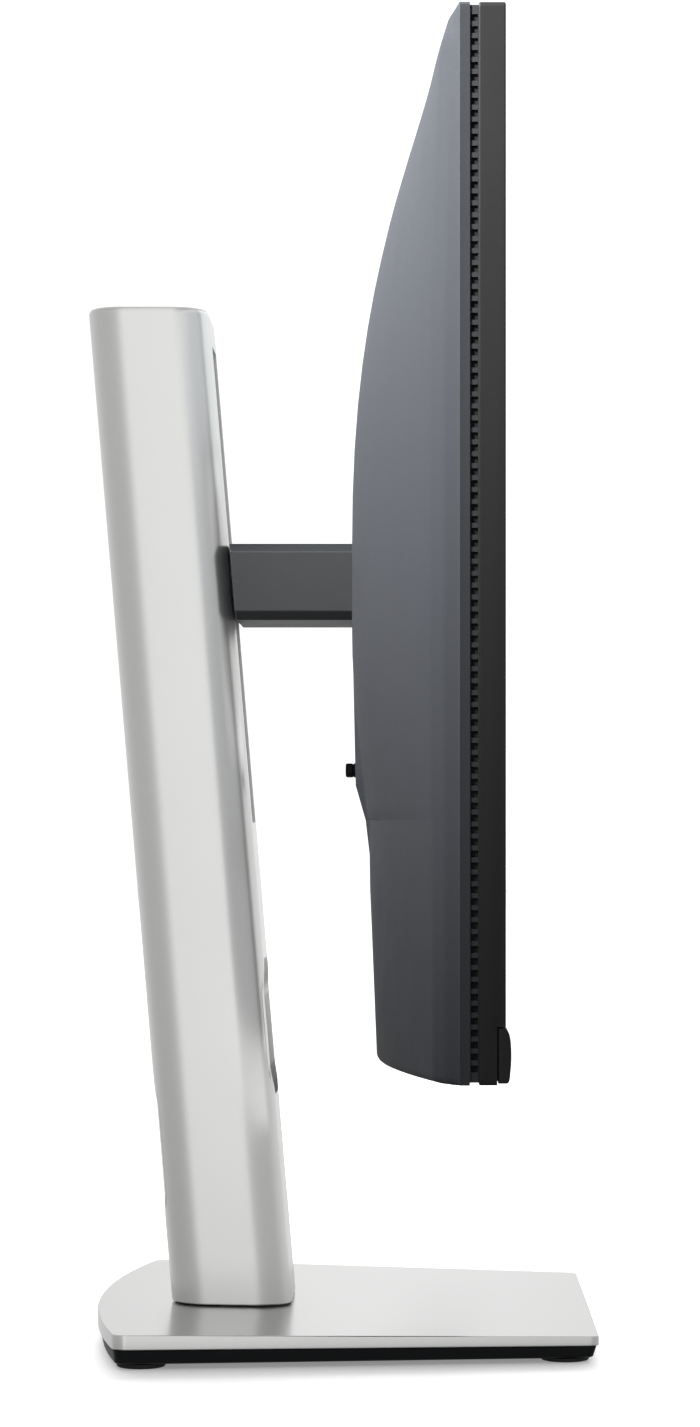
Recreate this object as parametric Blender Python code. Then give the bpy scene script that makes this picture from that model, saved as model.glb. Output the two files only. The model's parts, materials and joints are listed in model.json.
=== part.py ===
"""Desktop monitor on a height-adjustable stand, as separate closed bodies.

Frame: metres, +Z up, the screen faces -Y, +X is the user's right.  The origin is the
middle of the footprint on the table top.
"""
import math

import bmesh
import bpy
from mathutils import Matrix, Vector

MM = 0.001
DEPTH_SHIFT = 0.85              # puts the middle of the footprint on Y = 0

# ------------------------------------------------------------------ driving sizes (mm)
PANEL_HALF_W = 268.9
PANEL_Z0, PANEL_Z1 = 105.8, 419.2
FRONT_Y = -54.1
FRAME_BACK_Y = -46.3            # rear edge of the front frame's side band
GROOVE_BACK_Y = -43.7           # rear edge of the vent groove
COVER_BAND_Y = -40.8            # rear edge of the cover's flat side band
GROOVE_DEPTH = 0.85
CORNER_R = 1.4
COVER_WALL = 2.4
CHIN_TOP_Z = 122.0
CHIN_FRONT_Y = -55.5
LCD_HALF_W = 266.9

EDGE_STEP = 2.2                 # quick rise of the rear pillow next to its band
FLAT_RISE = 33.1                # rise of the pillow over its band in the middle
SIDE_RUN, SIDE_POW = 115.0, 1.57
TOP_RUN, TOP_POW = 150.0, 2.3
TOP_STEP = 2.6                  # further rise over the first 10 mm below the top edge
HOOD_LIP_Z = 182.6
HOOD_HALF_W = 150.0

HEAD_Z = 267.0                  # height of the tilt and pivot axes
TILT_Y = -10.0
RECESS_HALF = 62.0
RECESS_FLOOR_Y = -23.6
BAY_HALF_W, BAY_Z0, BAY_Y0 = 84.0, 158.0, -32.0

LEAN = 0.0846                   # column: shift in Y per unit of height
COL_Z0, COL_Z1 = 15.9, 352.0
COL_TOP_Z = 364.0
COL_HALF_W, COL_HALF_D = 30.0, 21.35
COL_WALL = 2.6
SWIVEL_Y = 37.4
HOLE_FRONT_Z = (84.9, 133.5)
HOLE_REAR_Z = (37.7, 92.8)
HOLE_HALF_W = 21.0

ARM_Z0, ARM_Z1 = 253.5, 280.5
ARM_HALF_W = 29.0
ARM_FRONT_Y = -8.0

BASE_FRONT_Y, BASE_REAR_Y, BASE_APEX_Y = -89.8, 73.0, 84.8
BASE_FRONT_HW, BASE_REAR_HW = 90.5, 108.7

MATS = {
    "dark_plastic": ((0.045, 0.047, 0.05, 1), 0.0, 0.55),
    "frame_plastic": ((0.03, 0.031, 0.033, 1), 0.0, 0.45),
    "arm_plastic": ((0.06, 0.064, 0.07, 1), 0.0, 0.5),
    "black_plastic": ((0.012, 0.012, 0.013, 1), 0.0, 0.5),
    "screen_glass": ((0.008, 0.008, 0.01, 1), 0.0, 0.25),
    "diffuser": ((0.85, 0.85, 0.85, 1), 0.0, 0.5),
    "steel": ((0.5, 0.51, 0.52, 1), 1.0, 0.35),
    "silver_paint": ((0.56, 0.57, 0.57, 1), 0.6, 0.4),
    "board": ((0.02, 0.09, 0.05, 1), 0.0, 0.5),
    "rubber": ((0.015, 0.015, 0.015, 1), 0.0, 0.9),
    "lens": ((0.8, 0.85, 0.9, 1), 0.0, 0.2),
}


# ------------------------------------------------------------------ helpers
def clear_scene():
    for ob in list(bpy.data.objects):
        bpy.data.objects.remove(ob, do_unlink=True)


def material(slot):
    mat = bpy.data.materials.get(slot)
    if mat is None:
        mat = bpy.data.materials.new(slot)
        mat.use_nodes = True
        rgba, metal, rough = MATS[slot]
        bsdf = mat.node_tree.nodes["Principled BSDF"]
        bsdf.inputs["Base Color"].default_value = rgba
        bsdf.inputs["Metallic"].default_value = metal
        bsdf.inputs["Roughness"].default_value = rough
    return mat


def make(name, verts, faces, slot=None):
    """An object from points in mm and faces; normals are turned outward."""
    bm = bmesh.new()
    vs = [bm.verts.new((x * MM, (y + DEPTH_SHIFT) * MM, z * MM)) for x, y, z in verts]
    for f in faces:
        bm.faces.new([vs[i] for i in f])
    bmesh.ops.recalc_face_normals(bm, faces=bm.faces)
    mesh = bpy.data.meshes.new(name)
    bm.to_mesh(mesh)
    bm.free()
    ob = bpy.data.objects.new(name, mesh)
    bpy.context.scene.collection.objects.link(ob)
    if slot:
        mesh.materials.append(material(slot))
    return ob


def loft(name, loops, slot=None):
    """A closed body through equal-length loops, capped at both ends."""
    n = len(loops[0])
    verts = [p for loop in loops for p in loop]
    faces = [tuple(range(n))[::-1], tuple(range((len(loops) - 1) * n, len(loops) * n))]
    for k in range(len(loops) - 1):
        for i in range(n):
            j = (i + 1) % n
            faces.append((k * n + i, k * n + j, (k + 1) * n + j, (k + 1) * n + i))
    return make(name, verts, faces, slot)


def box(name, x0, x1, y0, y1, z0, z1, slot=None):
    loops = [[(x0, y0, z), (x1, y0, z), (x1, y1, z), (x0, y1, z)] for z in (z0, z1)]
    return loft(name, loops, slot)


def leaning_box(name, x0, x1, d0, d1, z0, z1, slot=None):
    """A box between depths d0 and d1 from the column's middle, leaning with it."""
    loops = []
    for z in (z0, z1):
        yc = column_y(z)
        loops.append([(x0, yc + d0, z), (x1, yc + d0, z), (x1, yc + d1, z), (x0, yc + d1, z)])
    return loft(name, loops, slot)


def cylinder(name, centre, axis, r, lo, hi, slot=None, seg=24):
    """A cylinder about axis X, Y or Z through centre, from lo to hi along that axis."""
    loops = []
    for a in (lo, hi):
        loop = []
        for i in range(seg):
            t = 2 * math.pi * i / seg
            c, s = r * math.cos(t), r * math.sin(t)
            cx, cy, cz = centre
            loop.append({"X": (a, cy + c, cz + s), "Y": (cx + c, a, cz + s),
                         "Z": (cx + c, cy + s, a)}[axis])
        loops.append(loop)
    return loft(name, loops, slot)


def prism_x(name, outline, x0, x1, slot=None):
    """A Y-Z outline run along X."""
    return loft(name, [[(x, y, z) for y, z in outline] for x in (x0, x1)], slot)


def prism_z(name, outline, z0, z1, slot=None):
    return loft(name, [[(x, y, z) for x, y in outline] for z in (z0, z1)], slot)


def boolean(ob, tool, op):
    """Apply one exact boolean and drop the tool."""
    mod = ob.modifiers.new("cut", "BOOLEAN")
    mod.operation = op
    mod.solver = "EXACT"
    mod.object = tool
    bpy.context.view_layer.update()
    graph = bpy.context.evaluated_depsgraph_get()
    mesh = bpy.data.meshes.new_from_object(ob.evaluated_get(graph))
    mats = [m for m in ob.data.materials]
    ob.modifiers.remove(mod)
    ob.data = mesh
    mesh.materials.clear()
    for m in mats:
        mesh.materials.append(m)
    for poly in mesh.polygons:
        poly.material_index = 0
    bpy.data.objects.remove(tool, do_unlink=True)
    return ob


def cut(ob, *tools):
    for tool in tools:
        boolean(ob, tool, "DIFFERENCE")
    return ob


def fuse(ob, *tools):
    for tool in tools:
        boolean(ob, tool, "UNION")
    return ob


def origin_at(x, y, z, *obs):
    """Put the objects' origins on a point (mm) without moving their surfaces."""
    p = Vector((x * MM, (y + DEPTH_SHIFT) * MM, z * MM))
    for ob in obs:
        ob.data.transform(Matrix.Translation(-p))
        ob.location = p


def rounded(hw, hd, r, seg=4):
    """A rounded rectangle centred on zero, as (x, y) points."""
    pts = []
    for cx, cy, a0 in ((1, 1, 0), (-1, 1, 90), (-1, -1, 180), (1, -1, 270)):
        for i in range(seg + 1):
            t = math.radians(a0 + 90 * i / seg)
            pts.append((cx * (hw - r) + r * math.cos(t), cy * (hd - r) + r * math.sin(t)))
    return pts


# ------------------------------------------------------------------ rear cover
def ease(s, run, power):
    return 1 - (1 - min(max(s / run, 0), 1)) ** power


def flat_rise(z):
    """Rise of the pillow over its band in the middle of its width, below its top slope."""
    if z > 240:
        return FLAT_RISE
    if z > HOOD_LIP_Z:
        return FLAT_RISE - 4.9 * ((240 - z) / (240 - HOOD_LIP_Z)) ** 1.5
    return 25.1 + 3.1 * (z - PANEL_Z0) / (HOOD_LIP_Z - PANEL_Z0)


def cover_y(x, z):
    """Rear surface of the cover, without the hood over the sockets."""
    side = PANEL_HALF_W - abs(x)
    top = PANEL_Z1 - z
    step = min(1.0, side / 3.8, (top + 0.4) / 3.8)
    body = ease(side, SIDE_RUN, SIDE_POW) * ease(top, TOP_RUN, TOP_POW)
    lift = TOP_STEP * min(1, top / 10) * min(1, side / 10)
    return COVER_BAND_Y + EDGE_STEP * step + lift + (flat_rise(z) - EDGE_STEP - TOP_STEP) * body


def cover_solid(name, inset, y_front, y_shift):
    """A solid under the cover's rear surface, inset from its sides."""
    steps = [0, 4, 14, 30, 50, 75, 100, 125, 165]
    xs = [-PANEL_HALF_W + s for s in steps] + [-52, 0, 52]
    xs += [PANEL_HALF_W - s for s in reversed(steps)]
    zs = [PANEL_Z0 + s for s in (0, 4, 20, 45, 76.8, 98, 120, 150)]
    zs += [PANEL_Z1 - s for s in (130, 108, 88, 70, 52, 36, 22, 11, 4, 0)]
    k = 1 - inset / PANEL_HALF_W
    kz = 1 - 2 * inset / (PANEL_Z1 - PANEL_Z0)
    zc = (PANEL_Z0 + PANEL_Z1) / 2
    nx, nz = len(xs), len(zs)
    verts, faces = [], []
    for back in (0, 1):
        for z in zs:
            for x in xs:
                px, pz = x, z
                if abs(x) == PANEL_HALF_W and z in (zs[0], zs[-1]):
                    px -= math.copysign(CORNER_R * 0.29, x)
                    pz -= math.copysign(CORNER_R * 0.29, z - zc)
                y = cover_y(x, z) + y_shift if back else y_front
                verts.append((px * k, y, zc + (pz - zc) * kz))
    off = nx * nz
    for j in range(nz - 1):
        for i in range(nx - 1):
            a = j * nx + i
            faces.append((a, a + 1, a + nx + 1, a + nx))
            faces.append((off + a, off + a + nx, off + a + nx + 1, off + a + 1))
    ring = [i for i in range(nx)] + [j * nx + nx - 1 for j in range(1, nz)]
    ring += [(nz - 1) * nx + i for i in range(nx - 2, -1, -1)]
    ring += [j * nx for j in range(nz - 2, 0, -1)]
    for a, b in zip(ring, ring[1:] + ring[:1]):
        faces.append((a, b, off + b, off + a))
    return make(name, verts, faces)


def hood_solid(name, shrink):
    """The raised hood over the socket bay: a wedge fading into the pillow above."""
    hw = HOOD_HALF_W - shrink
    outline = [(-30, HOOD_LIP_Z + shrink), (-12.0 - shrink, HOOD_LIP_Z + shrink),
               (-8.8 - shrink, 193.8), (-7.75 - shrink, 242), (-30, 242)]
    loops = []
    for x, drop in ((-hw - 4, 3.4), (-hw, 0.0), (hw, 0.0), (hw + 4, 3.4)):
        loops.append([(x, y - (drop if y > -20 else 0), z) for y, z in outline])
    return loft(name, loops)


def recess_box(name, grow):
    h = RECESS_HALF + grow
    return box(name, -h, h, RECESS_FLOOR_Y - grow, 20, HEAD_Z - h, HEAD_Z + h)


def bay_wedge(name, grow):
    outline = [(BAY_Y0 - grow, 184 + grow), (BAY_Y0 - grow, 170),
               (-22 - grow, BAY_Z0 - 4 - grow * 0.6), (10, BAY_Z0 - 16 - grow), (10, 184 + grow)]
    return prism_x(name, outline, -BAY_HALF_W - grow, BAY_HALF_W + grow)


SOCKETS = {                      # centre x, half width, y range, slot
    "ac_inlet": (-58.0, 13.0, -31.4, -16.0, "black_plastic"),
    "digital_video_port_a": (-26.0, 8.2, -27.0, -20.6, "steel"),
    "digital_video_port_b": (-4.0, 7.6, -27.2, -20.8, "steel"),
    "analog_video_port": (22.0, 9.2, -28.0, -18.8, "steel"),
    "usb_upstream_port": (44.0, 6.0, -29.0, -18.0, "steel"),
    "usb_port_pair": (65.0, 7.6, -30.5, -17.0, "steel"),
}
STICK = (205.0, 140.0)
POWER = (228.0, 140.0)
RELEASE_Z = 200.7


def build_rear_cover():
    cover = cover_solid("rear_cover", 0, GROOVE_BACK_Y, 0)
    cover.data.materials.append(material("dark_plastic"))
    fuse(cover, hood_solid("h0", 0))
    inner = cover_solid("inner", 2.2, GROOVE_BACK_Y - 4, -COVER_WALL)
    cut(inner, recess_box("r1", 2.0), bay_wedge("b1", 2.0))
    cut(cover, inner, recess_box("r0", 0), bay_wedge("b0", 0))
    for x, hw, y0, y1, _ in SOCKETS.values():
        cut(cover, box("s", x - hw - 0.3, x + hw + 0.3, y0 - 0.3, y1 + 0.3, 183, 187))
    cut(cover, cylinder("c", (STICK[0], 0, STICK[1]), "Y", 6.0, -40, 10, seg=20))
    cut(cover, cylinder("c", (POWER[0], 0, POWER[1]), "Y", 4.6, -40, 10, seg=20))
    cut(cover, box("c", -7.4, 7.4, -30, 5, RELEASE_Z - 3.0, RELEASE_Z + 3.0))
    cut(cover, box("c", 118.0, 125.0, -40, 5, 126, 129))
    cut(cover, box("c", -3.2, 3.2, -23.2, -20.2, 201.0, 207.0))
    cut(cover, cylinder("c", (0, 0, HEAD_Z), "Y", 17.0, -30, -20, seg=24))
    return cover


# ------------------------------------------------------------------ display parts
def frame_ring(name, hw, z0, z1, ihw, iz0, iz1, y0, y1, slot, r=CORNER_R):
    zc, hz = (z0 + z1) / 2, (z1 - z0) / 2
    outer = loft(name, [[(x, y, zc + z) for x, z in rounded(hw, hz, r)] for y in (y0, y1)], slot)
    return cut(outer, box("i", -ihw, ihw, y0 - 5, y1 + 5, iz0, iz1))


def build_display_frame():
    frame = frame_ring("display_frame", PANEL_HALF_W, PANEL_Z0, PANEL_Z1, LCD_HALF_W + 0.3,
                       CHIN_TOP_Z, 417.6, FRONT_Y, FRAME_BACK_Y, "frame_plastic")
    cut(frame, box("c", -300, 300, -60, -51.6, 100, CHIN_TOP_Z + 1.0))
    cut(frame, box("c", -262, 262, -49.6, -45, 108.5, 118.4))
    return frame


def build_chin():
    outline = [(-51.9, 106.4), (-54.3, 106.4), (-55.1, 107.0), (-55.3, 108.2), (-55.5, 110.5),
               (-55.7, 113.3), (-55.65, 116.2), (-55.45, 119.1), (-55.15, 120.6), (-54.6, 121.8),
               (-54.1, 122.5), (-51.9, 122.5)]
    chin = prism_x("chin_trim", outline, -PANEL_HALF_W + 0.1, PANEL_HALF_W - 0.1, "frame_plastic")
    cut(chin, box("c", 246.7, 253.3, -60, -53.2, 109.4, 111.6))
    box("power_led_lens", 247, 253, -55.2, -53.5, 109.7, 111.3, "lens")
    return chin


def build_stack():
    w = LCD_HALF_W
    box("lcd_panel", -w, w, -54.0, -52.2, 122.8, 417.3, "screen_glass")
    box("diffuser_sheet", -w + 1, w - 1, -51.3, -50.6, 122.0, 416.8, "diffuser")
    box("light_guide", -w + 1, w - 1, -50.3, -47.6, 126.6, 416.8, "diffuser")
    box("led_strip", -w + 3, w - 3, -50.3, -47.6, 122.4, 126.3, "steel")
    tray = box("backlight_tray", -w + 0.6, w - 0.6, -47.3, -45.3, 122.4, 416.7, "steel")
    cut(tray, box("c", -w + 6, w - 6, -46.3, -44, 127, 411))
    box("timing_board", -150, 150, -45.0, -43.4, 131, 158, "board")


def slotted_bar(name, x0, x1, y0, y1, z0, z1, along, pitch, length, slot):
    """A thin bar with a row of slots through it, built as one closed grid."""
    lo, hi = (z0, z1) if along == "Z" else (x0, x1)
    n = int((hi - lo - (pitch - length)) // pitch)
    first = (lo + hi) / 2 - n * pitch / 2
    marks = [lo]
    for i in range(n):
        a = first + i * pitch + (pitch - length) / 2
        marks += [a, a + length]
    marks.append(hi)
    rails = [y0, y0 + 0.35, y1 - 0.35, y1]
    deep = (x0, x1) if along == "Z" else (z0, z1)

    def solid(i, j):
        return 0 <= i < len(marks) - 1 and 0 <= j < 3 and not (j == 1 and i % 2 == 1)

    bm = {}
    verts, faces = [], []

    def vid(i, j, k):
        key = (i, j, k)
        if key not in bm:
            bm[key] = len(verts)
            p = (deep[k], rails[j], marks[i]) if along == "Z" else (marks[i], rails[j], deep[k])
            verts.append(p)
        return bm[key]

    for i in range(len(marks) - 1):
        for j in range(3):
            if not solid(i, j):
                continue
            for k in (0, 1):
                faces.append((vid(i, j, k), vid(i + 1, j, k), vid(i + 1, j + 1, k), vid(i, j + 1, k)))
            for di, dj, a, b in ((-1, 0, (i, j), (i, j + 1)), (1, 0, (i + 1, j), (i + 1, j + 1)),
                                 (0, -1, (i, j), (i + 1, j)), (0, 1, (i, j + 1), (i + 1, j + 1))):
                if not solid(i + di, j + dj):
                    faces.append((vid(*a, 0), vid(*b, 0), vid(*b, 1), vid(*a, 1)))
    return make(name, verts, faces, slot)


def build_grilles():
    y0, y1 = FRAME_BACK_Y + 0.3, GROOVE_BACK_Y - 0.3
    o = PANEL_HALF_W - GROOVE_DEPTH
    i = o - 1.3
    zt, zb = PANEL_Z1 - GROOVE_DEPTH, PANEL_Z0 + GROOVE_DEPTH
    z0, z1 = PANEL_Z0 + 4.5, PANEL_Z1 - 4.5
    for side, s in (("left", -1), ("right", 1)):
        a, b = sorted((s * o, s * i))
        slotted_bar("vent_grille_" + side, a, b, y0, y1, z0, z1, "Z", 20.52, 18.9, "dark_plastic")
    x = PANEL_HALF_W - 4.5
    slotted_bar("vent_grille_top", -x, x, y0, y1, zt - 1.3, zt, "X", 20.52, 18.9, "dark_plastic")
    slotted_bar("vent_grille_bottom", -x, x, y0, y1, zb, zb + 1.3, "X", 20.52, 18.9, "dark_plastic")


def build_inside():
    chassis = box("mount_chassis", -128, 128, -27.6, -26.2, 201, 345, "steel")
    cut(chassis, cylinder("c", (0, 0, HEAD_Z), "Y", 22, -40, -20),
        box("c", -9, 9, -40, -20, 180, 211))
    box("main_board", 8, 124, -41.6, -40.0, 190, 318, "board")
    box("power_board", -124, -8, -41.6, -40.0, 190, 318, "board")
    transformer = box("power_transformer", -96, -58, -39.7, -28.2, 236, 268, "black_plastic")
    shield = box("board_shield", 22, 104, -39.7, -33, 214, 300, "steel")
    cut(shield, box("c", 23, 103, -45, -34, 215, 299))
    return transformer


def build_sockets():
    for name, (x, hw, y0, y1, slot) in SOCKETS.items():
        deep = 200.0 if name == "ac_inlet" else 196.0
        ob = box(name, x - hw, x + hw, y0, y1, 184.2, deep, slot)
        t = 2.2 if name == "ac_inlet" else 0.9
        top = 198.0 if name == "ac_inlet" else 194.0
        cut(ob, box("c", x - hw + t, x + hw - t, y0 + t, y1 - t, 180, top))


def build_buttons():
    """Release button and its latch, the menu stick and the power button."""
    ob = box("stand_release_button", -6.9, 6.9, -17.2, -4.3, RELEASE_Z - 2.5, RELEASE_Z + 2.5,
             "black_plastic")
    nose = box("n", -5.9, 5.9, -5.0, -2.9, RELEASE_Z - 1.7, RELEASE_Z + 1.7)
    fuse(ob, nose)
    latch = box("release_latch", -2.6, 2.6, -22.8, -20.6, 198.7, 209.6, "steel")
    origin_at(0, -10, RELEASE_Z, ob)
    origin_at(0, -21.7, RELEASE_Z, latch)
    x, z = STICK
    y = cover_y(x, z)
    cap = cylinder("joystick_cap", (x, 0, z), "Y", 4.4, y + 0.95, y + 3.2, "black_plastic", 20)
    fuse(cap, cylinder("n", (x, 0, z), "Y", 3.4, y + 2.0, y + 3.7, seg=20))
    stem = cylinder("joystick_stem", (x, 0, z), "Y", 1.6, y - 7.0, y + 0.3, "black_plastic", 16)
    gimbal = cylinder("joystick_gimbal", (x, 0, z), "Y", 4.8, y - 7.6, y - 5.6, "black_plastic", 20)
    cut(gimbal, cylinder("c", (x, 0, z), "Y", 2.6, y - 9, y - 4, seg=16))
    for ob in (cap, stem, gimbal):
        origin_at(x, y - 6.5, z, ob)
    x, z = POWER
    y = cover_y(x, z)
    button = cylinder("power_button", (x, 0, z), "Y", 4.1, y - 3.6, y + 0.7, "black_plastic", 20)
    origin_at(x, y, z, button)


# ------------------------------------------------------------------ head of the stand
def build_head():
    plate = box("quick_release_plate", -59, 59, -23.0, -20.4, HEAD_Z - 57, HEAD_Z + 59, "steel")
    cut(plate, cylinder("c", (0, 0, HEAD_Z), "Y", 15.3, -30, -10, seg=32))
    disc = cylinder("pivot_disc", (0, 0, HEAD_Z), "Y", 46, -20.0, -17.0, "black_plastic", 40)
    fuse(disc, cylinder("s", (0, 0, HEAD_Z), "Y", 15.0, -23.0, -19.0, seg=32))
    bracket = box("tilt_bracket", -20, 20, -16.7, -14.9, HEAD_Z - 11, HEAD_Z + 11, "steel")
    for s in (-1, 1):
        a, b = sorted((s * 14.2, s * 17.2))
        fuse(bracket, box("e", a, b, -15.5, TILT_Y, HEAD_Z - 6, HEAD_Z + 6))
        fuse(bracket, cylinder("e", (0, TILT_Y, HEAD_Z), "X", 6.0, a, b, seg=24))
    cut(bracket, cylinder("c", (0, TILT_Y, HEAD_Z), "X", 3.05, -30, 30, seg=24))
    pin = cylinder("tilt_pin", (0, TILT_Y, HEAD_Z), "X", 3.0, -19.5, 19.5, "steel", 24)
    origin_at(0, TILT_Y, HEAD_Z, plate, disc, bracket, pin)


def arm_end_y(z, gap=0.7):
    return column_y(z) - COL_HALF_D - gap


def build_arm():
    z0, z1, c = ARM_Z0, ARM_Z1, 3.0
    loops = []
    for side in (0, 1):
        loop = []
        for x, z in ((-ARM_HALF_W, z0 + c), (-ARM_HALF_W + c, z0), (ARM_HALF_W - c, z0),
                     (ARM_HALF_W, z0 + c), (ARM_HALF_W, z1 - c), (ARM_HALF_W - c, z1),
                     (-ARM_HALF_W + c, z1), (-ARM_HALF_W, z1 - c)):
            loop.append((x, arm_end_y(z) if side else ARM_FRONT_Y, z))
        loops.append(loop)
    arm = loft("arm_housing", loops, "arm_plastic")
    cut(arm, box("c", -ARM_HALF_W + 2.4, ARM_HALF_W - 2.4, -20, 32, z0 + 2.4, z1 - 2.4))
    cut(arm, box("c", -10.8, 10.8, 20, 50, 258.4, 271.6))
    bar = box("arm_bracket", -10.5, 10.5, -2, 41.4, 258.7, 271.3, "steel")
    fuse(bar, box("t", -13.8, 13.8, TILT_Y, 4, HEAD_Z - 5, HEAD_Z + 4.2),
         cylinder("t", (0, TILT_Y, HEAD_Z), "X", 4.9, -13.8, 13.8, seg=24))
    cut(bar, cylinder("c", (0, TILT_Y, HEAD_Z), "X", 3.05, -30, 30, seg=24))
    carriage = leaning_box("lift_carriage", -18, 18, -14.5, 7.6, 222, 270, "steel")
    cut(carriage, leaning_box("c", -10.3, 10.3, -11.0, 30, 226, 250))
    cut(carriage, cylinder("c", (0, column_y(238) - 1.2, 238), "X", 2.3, -40, 40, seg=20))
    for side, s in (("left", -1), ("right", 1)):
        a, b = sorted((s * 18.3, s * 20.5))
        leaning_box("slider_pad_" + side, a, b, -10, 7.6, 228, 266, "black_plastic")
    y = column_y(238) - 1.2
    coil = cylinder("lift_spring_coil", (0, y, 238), "X", 8.4, -9.8, 9.8, "steel", 28)
    cut(coil, cylinder("c", (0, y, 238), "X", 2.3, -20, 20, seg=20))
    axle = cylinder("spring_axle", (0, y, 238), "X", 2.2, -17.5, 17.5, "steel", 20)
    origin_at(0, y, 238, coil, axle, carriage)
    leaning_box("lift_spring_strip", -8, 8, 9.0, 9.6, 230, 348.5, "steel")


# ------------------------------------------------------------------ column
def column_y(z):
    return SWIVEL_Y + LEAN * (z - 15.0)


def column_outline(grow=0.0, z=0.0, r=13.0, squash=1.0):
    """The column's plan outline: soft corners and slightly convex long sides."""
    pts = []
    for x, y in rounded(COL_HALF_W - grow, COL_HALF_D - grow, max(r - grow, 1), 5):
        pts.append((x * squash, y * squash + column_y(z), z))
    return pts


def build_column():
    shell = loft("column_shell", [column_outline(0, z) for z in (COL_Z0, COL_Z1)], "silver_paint")
    cut(shell, loft("i", [column_outline(COL_WALL, z) for z in (COL_Z0 + 6, COL_Z1 + 20)]))
    cut(shell, leaning_box("c", -12, 12, -30, -10, 182, COL_Z1 + 10))
    cut(shell, cable_tunnel("t", 1.9))
    cut(shell, cylinder("c", (0, SWIVEL_Y, 0), "Z", 4.0, 10, 30, seg=20))
    liner = cable_tunnel("cable_slot_liner", 1.6, -COL_HALF_D + 0.4, COL_HALF_D - 0.4)
    liner.data.materials.append(material("silver_paint"))
    cut(liner, cable_tunnel("t", 0.0))
    loops = [column_outline(g, z, 13.0) for z, g in
             ((COL_Z1 + 0.3, 0), (COL_TOP_Z - 1.6, 0), (COL_TOP_Z - 0.5, 0.4), (COL_TOP_Z, 1.5))]
    loft("column_top_cap", loops, "silver_paint")
    foot = loft("column_foot", [column_outline(g, z) for z, g in
                                ((12.9, 1.3), (13.6, 0.4), (15.6, 0.2))], "silver_paint")
    cut(foot, cylinder("c", (0, SWIVEL_Y, 0), "Z", 4.0, 0, 30, seg=20))
    rail = leaning_box("lift_rail", -23, 23, -2, 15.5, 150, 350, "steel")
    cut(rail, leaning_box("c", -20.9, 20.9, -20, 13.5, 140, 360))
    return shell


def cable_tunnel(name, grow, d0=-40.0, d1=40.0):
    """The slanted slot through the column, as a solid between two depths."""
    f0, f1 = HOLE_FRONT_Z
    r0, r1 = HOLE_REAR_Z
    hw = HOLE_HALF_W + grow
    loops = []
    for d in (d0, d1):
        t = (d + COL_HALF_D) / (2 * COL_HALF_D)
        lo, hi = f0 + (r0 - f0) * t - grow, f1 + (r1 - f1) * t + grow
        zc, hz = (lo + hi) / 2, (hi - lo) / 2
        loops.append([(x, column_y(zc + z) + d, zc + z) for x, z in rounded(hw, hz, 12 + grow, 4)])
    return loft(name, loops)


# ------------------------------------------------------------------ base
def base_outline(inset=0.0, seg=8):
    """Plan of the base: straight front and sides, a shallow arc at the back."""
    fy, ry, ay = BASE_FRONT_Y + inset, BASE_REAR_Y - inset * 0.4, BASE_APEX_Y - inset
    fw, rw = BASE_FRONT_HW - inset, BASE_REAR_HW - inset * 1.1
    pts = []
    for i in range(4):
        t = math.radians(180 + 30 * i)
        pts.append((-fw + 3 + 3 * math.cos(t), fy + 3 + 3 * math.sin(t)))
    for i in range(4):
        t = math.radians(270 + 30 * i)
        pts.append((fw - 3 + 3 * math.cos(t), fy + 3 + 3 * math.sin(t)))
    pts += [(rw, ry - 5), (rw - 0.6, ry - 1.6), (rw - 3.2, ry)]
    for i in range(1, seg):
        u = 1 - 2 * i / seg
        pts.append(((rw - 3.2) * u, ry + (ay - ry) * (1 - u * u)))
    pts += [(-rw + 3.2, ry), (-rw + 0.6, ry - 1.6), (-rw, ry - 5)]
    return pts


def wedge(front, rear, y):
    return front + (rear - front) * (y - BASE_FRONT_Y) / (BASE_APEX_Y - BASE_FRONT_Y)


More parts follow.
